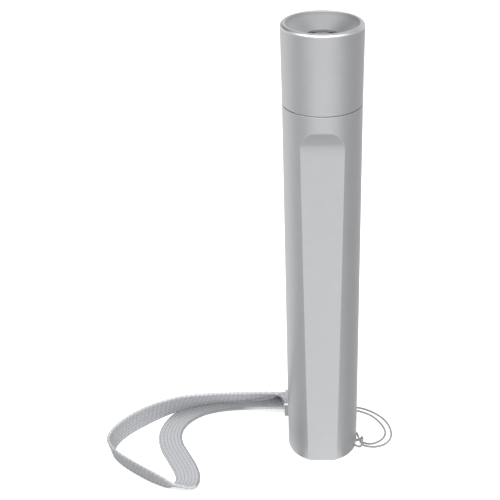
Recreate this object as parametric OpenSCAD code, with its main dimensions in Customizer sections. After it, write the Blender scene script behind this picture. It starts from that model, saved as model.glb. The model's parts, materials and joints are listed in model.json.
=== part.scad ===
// Cylindrical aluminium flashlight with a twist head, a front flat,
// a webbing wrist loop and a thin doubled lanyard cord.
// Millimetres. The tail stands on z = 0, the lens looks along +Z and the
// front flat faces -Y.

/* [Body] */
// Outer diameter of the barrel
body_d = 30; // [29:0.5:33]
// Length of the barrel from its tail to the seam under the head
barrel_l = 159.6; // [158:0.2:180]
// Bore of the battery compartment
bore_d = 22; // [21.8:0.1:22.2]
// Chamfer on the edges of the barrel's tail
edge_chamfer = 0.4; // [0.2:0.1:0.8]
// Chamfer on the two edges at the seam
seam_chamfer = 0.1; // [0.05:0.05:0.4]

/* [Front flat] */
// Wall left between the battery compartment and the flat at its top
flat_top_wall = 1.56; // [1.4:0.02:2.4]
// Depth of the flat below the round surface at the tail
flat_tail_depth = 1.3; // [0.8:0.02:1.6]
// Distance from the seam down to where the flat starts to run out
flat_below_seam = 14; // [13:0.2:40]
// Radius of the cutter that leaves the curved run-out
flat_cutter_r = 15; // [12:0.5:20]

/* [Tail] */
// Wall of the tail skirt round the recess
recess_wall = 3; // [2.8:0.1:4]
// Depth of the recess in the tail
recess_depth = 6.5; // [6:0.5:8]
// Thickness of the wall between recess and battery compartment
tail_wall = 4; // [3.5:0.5:6]
// Diameter of the lanyard hole that crosses the tail skirt
lanyard_hole_d = 3.6; // [3.2:0.1:4]
// Height of the lanyard hole's axis above the tail
lanyard_hole_z = 3.6; // [3.4:0.1:4]
// Width of the cord notch in front of the right end of the lanyard hole
cord_notch_w = 5; // [4.6:0.1:6]
// Distance from the lanyard hole's axis forward to the middle of the notch
cord_notch_y = 2.7; // [2.2:0.1:2.9]
// Height of the cord notch
cord_notch_h = 1.1; // [1.05:0.05:1.3]

/* [Neck] */
// Wall of the neck that the head turns on, round the compartment's bore
neck_wall = 2; // [1.9:0.05:2.1]
// Length of the neck above the seam
neck_l = 11; // [11:0.5:14]
// Pitch of the thread between neck and head
thread_pitch = 1; // [0.8:0.05:1.25]
// Depth of the thread
thread_depth = 0.5; // [0.3:0.05:0.6]
// How far the thread's crests on the neck lie below the smooth guide
thread_step = 0.5; // [0.4:0.05:0.6]
// Angle that the head turns back from tight to switch off
switch_turn = 90; // [60:5:100]
// Height of the smooth guide between seam and seal groove
neck_guide_h = 1.6; // [1.2:0.1:2.5]
// Cross-section diameter of the neck seal
neck_seal_d = 1.5; // [1.2:0.1:1.6]
// How far the seal stands proud of the bottom of its groove's mouth
neck_seal_proud = 0.02; // [0:0.01:0.05]

/* [Head] */
// Length of the head from seam to rim
head_l = 30.4; // [29:0.2:40]
// How far the rim stands out beyond the barrel's surface
rim_flare = 0.25; // [0:0.05:1]
// Visible gap between barrel and head
seam_gap = 0.25; // [0.2:0.05:0.5]
// Rounding of the rim's outer edge
rim_round = 1.2; // [0.4:0.1:1.3]
// Width of the rim from the bowl to its outer surface
rim_wall = 1.95; // [1.8:0.05:2.7]
// Rounding where the bowl meets the rim
bowl_round = 0.5; // [0.3:0.1:0.6]
// Thickness of the shell at the lens opening
bowl_floor_t = 0.8; // [0.6:0.1:1.2]

/* [Lens] */
// Diameter of the opening that the lens shows through
lens_opening_d = 12; // [11:0.5:13]
// Diameter of the lens over its flange
lens_flange_d = 15.2; // [14.6:0.1:16]
// Thickness of the lens flange
lens_flange_t = 1.5; // [1.2:0.1:2]
// Height of the lens dome above its flange
lens_dome_h = 2; // [1.5:0.1:2]
// Gap between the dome's foot and the opening's edge
lens_dome_gap = 0.2; // [0.1:0.05:0.4]
// Thickness of the flat lens seal
lens_seal_t = 0.6; // [0.4:0.1:0.8]
// Height of the threaded ring that holds the lens
lens_ring_h = 3; // [2.4:0.1:3.2]
// Free height between the LED board and the ring that holds the lens
lens_above_board = 2.55; // [2.4:0.05:3.2]
// Outer diameter of the threaded ring that holds the lens
lens_ring_d = 18.8; // [18:0.2:19.6]

/* [Battery] */
// Diameter of one cell
cell_d = 18.4; // [18:0.1:18.6]
// Diameter of the positive button
button_d = 7; // [6:0.5:9]
// Height of the positive button
button_h = 1.3; // [1:0.1:1.5]
// Number of cells in line, which share the length between the two springs
cell_count = 2; // [2]
// Wall of the plastic battery sleeve
sleeve_wall = 1.4; // [1.2:0.05:1.4]
// Width of the slit along the battery sleeve
sleeve_slit_w = 3; // [2:0.5:5]

/* [Contacts] */
// Thickness of the tail contact plate
plate_t = 0.5; // [0.3:0.1:0.8]
// Diameter of the tail contact plate
plate_d = 17; // [16:0.5:18]
// Length of the tail spring with the cells in place
tail_spring_l = 8; // [7:0.5:9]
// Diameter of the tail spring's wide end, to the wire's middle
tail_spring_wide_d = 15; // [13:0.5:15.5]
// Diameter of the tail spring's narrow end, to the wire's middle
tail_spring_narrow_d = 8; // [7.5:0.5:10]
// Wire of the tail spring
tail_wire_d = 0.9; // [0.7:0.1:1]
// Turns of the tail spring
tail_spring_turns = 4; // [3:1:5]
// Wire of the front contact spring
front_wire_d = 0.5; // [0.4:0.1:0.6]
// Distance from the front cell's button to the driver board
front_spring_l = 5; // [4.8:0.1:8]
// Turns of the front contact spring
front_spring_turns = 3; // [2:1:3]
// How far the front spring stands clear of the cell when the head is off
contact_gap = 0.3; // [0.28:0.02:0.4]
// Diameter of the front contact spring at the board, to the wire's middle
front_spring_wide_d = 7; // [6:0.5:8]
// Diameter of the front contact spring at the cell, to the wire's middle
front_spring_narrow_d = 4; // [3:0.5:5]
// Thread diameter of the tail contact screw
screw_d = 3; // [2.5:0.5:3]
// Head diameter of the tail contact screw
screw_head_d = 5.6; // [5:0.2:6]
// Head height of the tail contact screw
screw_head_h = 1.6; // [1.2:0.1:2]
// Length of the tail contact screw's shank in the tail wall
screw_bite = 2.4; // [2:0.2:2.8]

/* [Light engine] */
// Height of the flange that rests on the neck
flange_t = 1.8; // [1.6:0.1:3]
// How far the heat sink stands above its flange
sink_rise = 2.6; // [2.5:0.1:3.2]
// Thickness of the head's lip under the clip that keeps the heat sink in
lip_t = 0.9; // [0.8:0.1:1.2]
// Thickness of the clip
clip_t = 0.6; // [0.5:0.1:0.8]
// Thickness of the driver board
driver_t = 1.2; // [1:0.1:1.6]
// Distance from the seam down to the driver board
driver_below_seam = 3; // [2:0.5:4]
// Diameter of the driver board
driver_d = 19.4; // [18:0.2:19.6]
// Height of the ring that holds the driver board
driver_ring_h = 1; // [0.8:0.1:1.4]
// Depth of the pocket for the parts on the driver board
driver_pocket = 7.6; // [7:0.1:9]
// Diameter of the LED board
led_board_d = 16.4; // [15:0.2:17]
// Thickness of the LED board
led_board_t = 1.6; // [1.2:0.1:1.8]
// Side of the LED's square package
led_side = 5; // [3.5:0.5:5]
// Thickness of the LED's package
led_base_t = 0.8; // [0.6:0.1:1]
// Diameter of the LED's dome
led_dome_d = 4.4; // [2.8:0.2:4.4]
// Distance of the LED wires from the axis
lead_offset = 6.2; // [6:0.1:6.4]
// Diameter of an LED wire over its insulation
lead_d = 1.1; // [0.9:0.1:1.2]

/* [Strap and cord] */
// Width of the wrist loop's webbing
strap_w = 10.4; // [9:0.2:10.6]
// Thickness of the wrist loop's webbing
strap_t = 1.2; // [1:0.05:1.2]
// Diameter of the lanyard cord
cord_d = 0.85; // [0.7:0.05:0.85]
// Length of the strap clamp
clamp_l = 11; // [10.5:0.5:14]
// Height of the strap clamp
clamp_h = 7; // [6.9:0.1:8]
// Wall of the strap clamp beside the webbing
clamp_wall = 0.6; // [0.5:0.05:0.8]

/* [Fits] */
// Radial clearance of parts that turn or slide on each other
running_clear = 0.08; // [0.04:0.01:0.1]
// Gap between parts that face each other without a fit
free_gap = 0.3; // [0.2:0.05:0.4]
// Gap between a part and the pocket that it is dropped into
drop_gap = 0.1; // [0.05:0.01:0.2]

/* [Hidden] */
$fn = 96;
eps = 0.01;
over = 1;

// Radii of the turned parts
body_r = body_d / 2;
bore_r = bore_d / 2;
neck_r = bore_r + neck_wall;
rim_r = body_r + rim_flare;
bowl_r = rim_r - rim_wall;
recess_r = body_r - recess_wall;
flat_top_depth = body_r - bore_r - flat_top_wall;

// Heights along the axis, from the tail up
floor_z = recess_depth + tail_wall;
plate_top_z = floor_z + plate_t;
cells_z = plate_top_z + tail_spring_l;
driver_z = barrel_l - driver_below_seam;
cells_top_z = driver_z - front_spring_l;
cell_pitch = (cells_top_z - cells_z) / cell_count;
cell_l = cell_pitch - button_h;
neck_top_z = barrel_l + neck_l;
head_z = barrel_l + seam_gap;
rim_z = barrel_l + head_l;

// The heat sink hangs from the neck and looks down at the cells
switch_travel = thread_pitch * switch_turn / 360;
thread_r = neck_r - thread_step;
sink_r = bore_r - running_clear;
flange_r = thread_r - free_gap;
flange_z = neck_top_z + switch_travel;
flange_top_z = flange_z + flange_t;
sink_top_z = flange_top_z + sink_rise;
seat_r = led_board_d / 2 + 0.4;
clip_z = flange_top_z + drop_gap + lip_t + drop_gap;
sink_bottom_z = driver_z - driver_ring_h;
driver_top_z = driver_z + driver_t;
driver_seat_r = driver_d / 2 + drop_gap;
pocket_r = driver_d / 2 - 0.5;
led_board_top_z = sink_top_z + led_board_t;

// The lens stack stands over the LED board, and the bowl takes what is left
lens_ring_z = led_board_top_z + lens_above_board;
lens_bottom_z = lens_ring_z + lens_ring_h;
lens_top_z = lens_bottom_z + lens_flange_t;
lens_seat_z = lens_top_z + lens_seal_t;
bowl_floor_z = lens_seat_z + bowl_floor_t;
lens_pocket_r = lens_flange_d / 2 + drop_gap;
ring_bore_r = lens_ring_d / 2 + drop_gap;
shoulder_z = flange_top_z + drop_gap;

// Neck seal
seal_z = barrel_l + neck_guide_h + neck_seal_d / 2 + drop_gap;
seal_r = neck_r + neck_seal_proud - neck_seal_d / 2;
groove_half = neck_seal_d / 2 + drop_gap;
groove_r = neck_r + neck_seal_proud - neck_seal_d - drop_gap;
thread_z = seal_z + groove_half + 0.8;
tooth = thread_pitch / 2;

// Ring grooves that stand for the thread, n of them from height z up: r is
// the radius of the crests and d the depth, negative for a bore
function teeth(r, d, z, n) = [for (i = [0 : n - 1])
    for (q = [[r, 0.15], [r - d, 0.5], [r - d, 0.6], [r, 0.95]])
        [q[0], z + (i + q[1]) * thread_pitch]];
thread_turns = floor((neck_top_z - thread_z - thread_step) / thread_pitch);
head_thread_z = thread_z + thread_step + switch_travel + drop_gap;
head_thread_r = thread_r + running_clear;

// Strap clamp, lying behind the barrel on the surface that it stands on
clamp_left_x = -17.3;
clamp_y = 22;
clamp_w = strap_w + 2 * clamp_wall;
clamp_chamfer = 0.5;
strap_end_x = -10;
strap_upper_z = 5.5;
strap_lower_z = 4.1;
slot_gap = 0.15;
slot_low_z = strap_lower_z - strap_t / 2 - slot_gap;
slot_high_z = strap_upper_z + strap_t / 2 + slot_gap;
slot_w = strap_w + 2 * slot_gap;
ferrule_z = 1.9;
ferrule_r = 1.5;
ferrule_l = 3.4;
ferrule_proud = 0.4;
clamp_right_x = clamp_left_x + clamp_l;
ferrule_end_x = clamp_right_x + ferrule_proud;

// Middle line of the webbing, each point with the lean of its width:
// 0 lies flat, 90 stands on edge, 180 lies flat turned over
strap_route = [
    [strap_end_x, clamp_y, strap_upper_z, 0],
    [-17.5, clamp_y, strap_upper_z, 0],
    [-18.8, 21.8, 7.1, 18],
    [-20.3, 21.5, 8.3, 36],
    [-22.5, 21, 9.1, 43],
    [-26, 20.7, 9.1, 49],
    [-33, 21.1, 7.9, 56],
    [-41, 21.7, 6.8, 60],
    [-49, 21.4, 6.6, 62],
    [-57, 19.8, 6.7, 66],
    [-64, 17.4, 7, 73],
    [-71, 14.5, 6.5, 80],
    [-78.6, 10.5, 5.6, 88],
    [-85.8, 4, 5.4, 90],
    [-90.4, -3, 5.4, 92],
    [-91.8, -9.1, 5.4, 98],
    [-90.2, -14, 5.4, 104],
    [-85.8, -19.2, 5.4, 107],
    [-80.2, -23.8, 5.4, 107],
    [-74.3, -28, 5.3, 108],
    [-69.1, -31.2, 5.2, 111],
    [-64.9, -33.3, 4.9, 117],
    [-61.4, -34, 4, 136],
    [-58.8, -32.7, 2.5, 160],
    [-57.2, -30.1, 1.2, 176],
    [-56.8, -26, 0.9, 180],
    [-58.5, -20.4, 0.85, 180],
    [-62.3, -13, 0.85, 180],
    [-65.9, -6, 0.85, 180],
    [-67.7, 1, 0.85, 180],
    [-66.9, 8, 0.85, 180],
    [-63.2, 15, 0.85, 180],
    [-56.6, 20.7, 0.85, 180],
    [-48, 24, 0.85, 180],
    [-40, 25, 1.1, 180],
    [-33, 24.4, 2, 180],
    [-25, 22.9, 3.5, 180],
    [-20.5, 22.2, 4, 180],
    [-17.5, clamp_y, strap_lower_z, 180],
    [strap_end_x, clamp_y, strap_lower_z, 180]];

// Route of the doubled lanyard cord: out of the ferrule, round the right
// side, through its own bight and the tail's lanyard hole, and back
cord_route = [
    [ferrule_end_x, 22.9, ferrule_z],
    [-4.4, 23, 1.8],
    [0, 23.5, 1.2],
    [8, 23.4, 0.6],
    [14, 22.7, 0.5],
    [19.4, 21.1, 0.5],
    [23.8, 18.2, 0.5],
    [27.6, 14.1, 0.5],
    [30.1, 8.8, 0.5],
    [30.8, 3.4, 0.5],
    [29.6, -1, 0.5],
    [26.8, -4.1, 0.5],
    [23, -5.4, 0.5],
    [19.8, -5.2, 0.6],
    [18, -4.39, 0.69],
    [16.45, -3.41, 2.46],
    [15.31, -1.1, 3.69],
    [13.44, -0.74, 3.2],
    [11.31, -1.36, 3.23],
    [10.41, -2.85, 1.53],
    [10.94, -3.47, 0.54],
    [13.4, -3.9, 0.5],
    [15, -4.7, 0.5],
    [16.3, -5.6, 0.8],
    [17.41, -5.64, 2.01],
    [17.3, -4.9, 2.8],
    [17.74, -2.8, 3.14],
    [17.43, -1.34, 2.5],
    [16.84, -0.74, 1.04],
    [15, -1, 0.5],
    [13.2, -1.5, 0.5],
    [11.56, -1.25, 0.52],
    [10.59, -0.69, 1.7],
    [11.52, -0.16, 3.09],
    [13.59, 0.49, 3.99],
    [15.41, 0.11, 3.4],
    [16.23, -1.84, 1.78],
    [17.55, -2.9, 1.14],
    [20.2, -3.5, 0.6],
    [23, -2.9, 0.5],
    [25.8, -1, 0.5],
    [27.6, 1.8, 0.5],
    [28.1, 5.4, 0.5],
    [26.8, 9.8, 0.5],
    [24.2, 14.2, 0.5],
    [20.6, 17.6, 0.5],
    [15, 20.2, 0.5],
    [8, 21.4, 0.6],
    [0, 21.4, 1.2],
    [-4.4, 21.1, 1.8],
    [ferrule_end_x, 21.1, ferrule_z]];

// Colours
metal = [0.72, 0.73, 0.74];
web_grey = [0.62, 0.63, 0.65];
black = [0.12, 0.12, 0.13];
brass = [0.8, 0.68, 0.35];
steel = [0.6, 0.6, 0.62];

// Points of an arc about c, radius r, from angle a to angle b
function arc(c, r, a, b, n = 8) =
    [for (i = [0 : n]) let (t = a + (b - a) * i / n) c + r * [cos(t), sin(t)]];

function unit(v) = v / norm(v);

function reverse(v) = [for (i = [len(v) - 1 : -1 : 0]) v[i]];

// Length of a line through places p
function line_length(p, i = 0) =
    i == len(p) - 1 ? 0 : norm(p[i + 1] - p[i]) + line_length(p, i + 1);

// Distance between two segments, sampled at six places on each
function segment_gap(a, b, c, d) =
    min([for (i = [0 : 5], j = [0 : 5])
        norm(a + (b - a) * i / 5 - c - (d - c) * j / 5)]);

// Least distance of a line to itself, skipping the next few segments
function least_gap(p, skip) =
    min([for (i = [0 : len(p) - 2 - skip]) if (i + skip <= len(p) - 2)
        min([for (j = [i + skip : len(p) - 2])
            segment_gap(p[i], p[i + 1], p[j], p[j + 1])])]);

// Direction of travel at point i of a list of places
function travel(p, i) = unit(p[min(i + 1, len(p) - 1)] - p[max(i - 1, 0)]);

// Faces of a tube of n rings with m points each, with flat ends
function tube_faces(n, m) = concat(
    [[for (j = [0 : m - 1]) j]],
    [for (i = [0 : n - 2], j = [0 : m - 1])
        [i * m + j, (i + 1) * m + j, i * m + (j + 1) % m]],
    [for (i = [0 : n - 2], j = [0 : m - 1])
        [(i + 1) * m + j, (i + 1) * m + (j + 1) % m, i * m + (j + 1) % m]],
    [[for (j = [m - 1 : -1 : 0]) (n - 1) * m + j]]);

// A solid swept along places p: w is the width direction at each place and
// section the outline in the plane across the line
module sweep(p, w, section) {
    rings = [for (i = [0 : len(p) - 1])
        let (t = travel(p, i), u = unit(w[i] - (w[i] * t) * t), v = cross(t, u))
        for (s = section) p[i] + s[0] * u + s[1] * v];
    polyhedron(rings, tube_faces(len(p), len(section)), convexity = 10);
}

// A disc or tube along Z from z0 to z1
module ring(r, z0, z1, hole = 0) {
    translate([0, 0, z0])
        difference() {
            cylinder(h = z1 - z0, r = r);
            if (hole > 0)
                translate([0, 0, -over]) cylinder(h = z1 - z0 + 2 * over, r = hole);
        }
}

// Cutter for the front flat: a tilted slab that ends in a round run-out
module flat_cutter() {
    top_z = barrel_l - flat_below_seam;
    tilt = atan((flat_top_depth - flat_tail_depth) / top_z);
    width = 2 * body_d;
    translate([-width / 2, flat_top_depth - body_r, top_z])
        rotate([-tilt, 0, 0])
            translate([0, -width, -top_z - 2 * over])
                cube([width, width, top_z + 2 * over]);
    translate([-width / 2, flat_top_depth - body_r - flat_cutter_r, top_z])
        rotate([0, 90, 0])
            cylinder(h = width, r = flat_cutter_r, $fn = 180);
}

// Turned outline of the barrel, from the tail recess up to the neck
barrel_outline = concat([
    [0, recess_depth],
    [recess_r, recess_depth],
    [recess_r, edge_chamfer],
    [recess_r + edge_chamfer, 0],
    [body_r - edge_chamfer, 0],
    [body_r, edge_chamfer],
    [body_r, barrel_l - seam_chamfer],
    [body_r - seam_chamfer, barrel_l],
    [neck_r, barrel_l],
    [neck_r, seal_z - groove_half],
    [groove_r, seal_z - groove_half],
    [groove_r, seal_z + groove_half],
    [neck_r, seal_z + groove_half],
    [neck_r, thread_z],
    [thread_r, thread_z + thread_step]],
    teeth(thread_r, thread_depth, thread_z + thread_step, thread_turns), [
    [thread_r, neck_top_z],
    [bore_r, neck_top_z],
    [bore_r, floor_z],
    [0, floor_z]]);

module barrel() {
    color(metal)
        difference() {
            rotate_extrude() polygon(barrel_outline);
            flat_cutter();
            translate([-body_r - over, 0, lanyard_hole_z])
                rotate([0, 90, 0])
                    cylinder(h = body_d + 2 * over, r = lanyard_hole_d / 2, $fn = 48);
            translate([recess_r - over, -cord_notch_w / 2 - cord_notch_y, -over])
                cube([body_r, cord_notch_w, cord_notch_h + over]);
            translate([0, 0, floor_z - screw_bite - free_gap])
                cylinder(h = tail_wall, r = screw_d / 2 + drop_gap / 2, $fn = 32);
        }
}

module neck_seal() {
    color(black)
        rotate_extrude()
            translate([seal_r, seal_z]) circle(r = neck_seal_d / 2, $fn = 24);
}

module battery_sleeve() {
    outer = bore_r - drop_gap;
    low = plate_top_z + free_gap;
    high = cells_top_z - button_h - free_gap;
    color(black)
        difference() {
            ring(outer, low, high, outer - sleeve_wall);
            translate([-sleeve_slit_w / 2, 0, low - over])
                cube([sleeve_slit_w, body_r, high - low + 2 * over]);
        }
}

module tail_contact_plate() {
    color(brass)
        ring(plate_d / 2, floor_z, plate_top_z, screw_d / 2 + drop_gap);
}

module tail_contact_screw() {
    color(steel)
        difference() {
            union() {
                translate([0, 0, plate_top_z]) cylinder(h = screw_head_h, r = screw_head_d / 2);
                translate([0, 0, floor_z - screw_bite])
                    cylinder(h = screw_bite + plate_t + eps, r = screw_d / 2, $fn = 32);
            }
            for (a = [0, 90])
                rotate([0, 0, a])
                    translate([-screw_head_d / 4, -0.3, plate_top_z + screw_head_h - 0.9])
                        cube([screw_head_d / 2, 0.6, over]);
        }
}

echo("length of one cell without its button", cell_l);

// A cone-shaped wire spring from z0 to z1, half a flat turn at each end
module cone_spring(z0, z1, r0, r1, wire, turns) {
    steps = 8;
    n = (turns + 1) * steps;
    flat = 0.25 / (turns + 1);
    function rise(t) = t < flat ? 0 : t > 1 - flat ? 1 : (t - flat) / (1 - 2 * flat);
    p = [for (i = [0 : n])
        let (t = i / n, a = 360 * (turns + 1) * t, r = r0 + (r1 - r0) * t)
        [r * cos(a), r * sin(a), z0 + wire / 2 + (z1 - z0 - wire) * rise(t)]];
    w = [for (q = p) unit([q[0], q[1], 0])];
    echo("least gap of the spring to itself", least_gap(p, steps / 2) - wire);
    sweep(p, w, arc([0, 0], wire / 2, 0, 300, 5));
}

module tail_spring() {
    color(brass)
        cone_spring(plate_top_z, cells_z, tail_spring_wide_d / 2,
            tail_spring_narrow_d / 2, tail_wire_d, tail_spring_turns);
}

module cell(z0, tint) {
    r = cell_d / 2;
    color(tint)
        rotate_extrude()
            polygon([
                [0, z0],
                [r - 0.4, z0],
                [r, z0 + 0.4],
                [r, z0 + cell_l - 1.6],
                [r - 0.5, z0 + cell_l - 0.6],
                [r - 0.5, z0 + cell_l],
                [r - 2.6, z0 + cell_l],
                [r - 2.8, z0 + cell_l - 0.4],
                [button_d / 2, z0 + cell_l - 0.4],
                [button_d / 2, z0 + cell_l + button_h - 0.3],
                [button_d / 2 - 0.3, z0 + cell_l + button_h],
                [0, z0 + cell_l + button_h]]);
}

module cell_rear() {
    cell(cells_z, [0.2, 0.38, 0.6]);
}

module cell_front() {
    cell(cells_z + cell_pitch, [0.2, 0.38, 0.6]);
}

// Heat sink: a cup for the driver below, a flange that rests on the neck
// and a raised seat for the LED board
module heat_sink() {
    ledge_z = driver_top_z;
    pocket_top = ledge_z + driver_pocket;
    color(metal)
        difference() {
            union() {
                ring(sink_r, sink_bottom_z, flange_z + eps);
                ring(flange_r, flange_z, flange_top_z);
                ring(seat_r, flange_top_z - eps, sink_top_z);
            }
            difference() {
                ring(seat_r + over, clip_z - drop_gap / 2, clip_z + clip_t + drop_gap / 2);
                ring(seat_r - 0.6, clip_z - over, clip_z + over + clip_t);
            }
            ring(driver_seat_r, sink_bottom_z - over, ledge_z);
            ring(pocket_r, ledge_z - eps, pocket_top);
            for (s = [-1, 1]) {
                translate([s * lead_offset, 0, pocket_top - over])
                    cylinder(h = sink_top_z - pocket_top + 2 * over,
                        r = lead_d / 2 + drop_gap, $fn = 24);
                translate([0, s * lead_offset, sink_top_z - 2.2])
                    cylinder(h = 2.2 + over, r = 0.85, $fn = 24);
            }
        }
}

module driver_board() {
    color([0.1, 0.35, 0.2])
        ring(driver_d / 2, driver_z, driver_top_z);
}

// Coil, controller and small parts on the driver board
module driver_parts() {
    color([0.25, 0.25, 0.27]) {
        translate([0, 3.6, driver_top_z])
            cylinder(h = 4.2, r = 3.2, $fn = 48);
        translate([-3.4, -5.6, driver_top_z])
            cube([4.4, 3.8, 1.5]);
        translate([2.4, -5.2, driver_top_z])
            cube([2.2, 1.4, 1.1]);
        translate([2.4, -2.9, driver_top_z])
            cube([2.2, 1.4, 1.1]);
    }
}

module driver_ring() {
    color(brass)
        difference() {
            ring(driver_d / 2, sink_bottom_z, driver_z, driver_d / 2 - 1.6);
            for (a = [0, 180])
                rotate([0, 0, a])
                    translate([driver_d / 2 - over, -0.8, sink_bottom_z - over])
                        cube([2 * over, 1.6, over + driver_ring_h / 2]);
        }
}

module front_spring() {
    color(brass)
        cone_spring(cells_top_z + contact_gap, driver_z, front_spring_narrow_d / 2,
            front_spring_wide_d / 2, front_wire_d, front_spring_turns);
}

// Clip in the heat sink's groove, above the head's lip: the head turns on
// the heat sink but can't come off it
module engine_clip() {
    color(steel)
        difference() {
            ring(seat_r + 0.7, clip_z, clip_z + clip_t, seat_r - 0.5);
            translate([-1.5, 0, clip_z - over])
                cube([3, neck_r, clip_t + 2 * over]);
        }
}

module led_board() {
    color([0.9, 0.9, 0.9])
        difference() {
            ring(led_board_d / 2, sink_top_z, led_board_top_z);
            for (s = [-1, 1]) {
                translate([s * lead_offset, 0, sink_top_z - over])
                    cylinder(h = led_board_t + 2 * over,
                        r = lead_d / 2 + drop_gap, $fn = 24);
                translate([0, s * lead_offset, sink_top_z - over])
                    cylinder(h = led_board_t + 2 * over, r = 0.95, $fn = 24);
            }
        }
}

module led_emitter() {
    base_top_z = led_board_top_z + led_base_t;
    color([0.95, 0.9, 0.6]) {
        translate([-led_side / 2, -led_side / 2, led_board_top_z])
            cube([led_side, led_side, led_base_t]);
        intersection() {
            translate([0, 0, base_top_z - eps]) sphere(r = led_dome_d / 2);
            ring(led_dome_d, base_top_z - eps, base_top_z + led_dome_d);
        }
    }
}

// Plastic collar that centres the LED
module led_collar() {
    inner = led_side / 2 + drop_gap;
    color(black)
        difference() {
            ring(4.4, led_board_top_z, led_board_top_z + led_base_t);
            translate([-inner, -inner, led_board_top_z - over])
                cube([2 * inner, 2 * inner, led_base_t + 2 * over]);
        }
}

module led_screws() {
    color(steel)
        for (s = [-1, 1])
            translate([0, s * lead_offset, 0]) {
                translate([0, 0, sink_top_z - 2])
                    cylinder(h = led_board_t + 2, r = 0.8, $fn = 24);
                difference() {
                    translate([0, 0, led_board_top_z])
                        cylinder(h = 1, r = 1.5, $fn = 32);
                    translate([-0.9, -0.2, led_board_top_z + 0.5])
                        cube([1.8, 0.4, over]);
                }
            }
}

// Two insulated wires from the driver board up to the LED board's pads
module led_leads() {
    top_z = led_board_top_z + lead_d / 2;
    r = lead_d / 2;
    for (s = [-1, 1])
        color(s < 0 ? black : [0.7, 0.1, 0.1]) {
            translate([s * lead_offset, 0, driver_top_z])
                cylinder(h = top_z - driver_top_z, r = r, $fn = 24);
            translate([s * lead_offset, 0, top_z])
                sphere(r = r, $fn = 24);
            translate([s * lead_offset, 0, top_z])
                rotate([0, -s * 90, 0])
                    cylinder(h = lead_offset - 4.6, r = r, $fn = 24);
        }
}

// Outline of the head: flared outside, rounded rim, conical bowl, and the
// stepped bores for lens, ring, flange and neck
head_outline = concat(
    [[neck_r + running_clear, head_z],
     [body_r - seam_chamfer, head_z],
     [body_r, head_z + seam_chamfer]],
    arc([rim_r - rim_round, rim_z - rim_round], rim_round, 0, 90),
    arc([bowl_r + bowl_round, rim_z - bowl_round], bowl_round, 90, 150),
    [[lens_opening_d / 2, bowl_floor_z],
     [lens_opening_d / 2, lens_seat_z],
     [lens_pocket_r, lens_seat_z],
     [lens_pocket_r, lens_bottom_z],
     [ring_bore_r, lens_bottom_z],
     [ring_bore_r, shoulder_z + lip_t],
     [seat_r + running_clear, shoulder_z + lip_t],
     [seat_r + running_clear, shoulder_z],
     [head_thread_r, shoulder_z]],
    reverse(teeth(head_thread_r, -thread_depth, head_thread_z, thread_turns)),
    [[neck_r + running_clear, head_thread_z - thread_step + running_clear]]);

module head_shell() {
    color(metal)
        rotate_extrude($fn = 128) polygon(head_outline);
}

module lens() {
    foot = lens_opening_d / 2 - lens_dome_gap;
    dome_r = (foot * foot + lens_dome_h * lens_dome_h) / (2 * lens_dome_h);
    color([0.85, 0.9, 0.95, 0.5]) {
        ring(lens_flange_d / 2, lens_bottom_z, lens_top_z);
        intersection() {
            translate([0, 0, lens_top_z + lens_dome_h - dome_r])
                sphere(r = dome_r);
            ring(foot, lens_top_z - eps, lens_top_z + lens_dome_h + over);
        }
    }
}

module lens_seal() {
    color(black)
        ring(lens_flange_d / 2, lens_top_z, lens_seat_z, lens_opening_d / 2 + drop_gap);
}

module lens_ring() {
    wide = lens_ring_d / 2;
    color(black)
        rotate_extrude()
            polygon([
                [wide - 3.6, lens_ring_z],
                [wide, lens_ring_z],
                [wide, lens_bottom_z],
                [lens_flange_d / 2 - 1, lens_bottom_z]]);
}

module strap_webbing() {
    places = [for (q = strap_route) [q[0], q[1], q[2]]];
    side = [for (i = [0 : len(places) - 1])
        let (t = travel(places, i)) unit(cross([0, 0, 1], t))];
    lean = [for (i = [0 : len(places) - 1])
        let (a = strap_route[i][3], t = travel(places, i))
        side[i] * cos(a) + cross(t, side[i]) * sin(a)];
    hw = strap_w / 2;
    ht = strap_t / 2;
    echo("length of the webbing", line_length(places));
    color(web_grey)
        sweep(places, lean, [
            [hw, -ht / 2], [hw, ht / 2], [hw - ht / 2, ht], [ht / 2 - hw, ht],
            [-hw, ht / 2], [-hw, -ht / 2], [ht / 2 - hw, -ht], [hw - ht / 2, -ht]]);
}

// Folded metal clamp that holds both ends of the webbing and the ferrule
module strap_clamp() {
    c = clamp_chamfer;
    color(metal)
        difference() {
            translate([clamp_left_x, clamp_y, 0])
                rotate([90, 0, 90])
                    linear_extrude(clamp_l)
                        polygon([
                            [-clamp_w / 2 + c, 0], [clamp_w / 2 - c, 0],
                            [clamp_w / 2, c], [clamp_w / 2, clamp_h - c],
                            [clamp_w / 2 - c, clamp_h], [-clamp_w / 2 + c, clamp_h],
                            [-clamp_w / 2, clamp_h - c], [-clamp_w / 2, c]]);
            translate([clamp_left_x - over, clamp_y - slot_w / 2, slot_low_z])
                cube([strap_end_x - clamp_left_x + over + free_gap, slot_w,
                    slot_high_z - slot_low_z]);
            translate([ferrule_end_x - ferrule_l - free_gap, clamp_y, ferrule_z])
                rotate([0, 90, 0])
                    cylinder(h = ferrule_l + over, r = ferrule_r + drop_gap / 2, $fn = 48);
        }
}

// Crimped tube round both ends of the lanyard cord
module cord_ferrule() {
    color(steel)
        translate([ferrule_end_x - ferrule_l, clamp_y, ferrule_z])
            rotate([0, 90, 0])
                cylinder(h = ferrule_l, r = ferrule_r, $fn = 48);
}

module lanyard_cord() {
    echo("length of the cord", line_length(cord_route));
    echo("least gap of the cord to itself", least_gap(cord_route, 3) - cord_d);
    color(steel)
        sweep(cord_route, cord_width(), arc([0, 0], cord_d / 2, 0, 315, 7));
}

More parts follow.
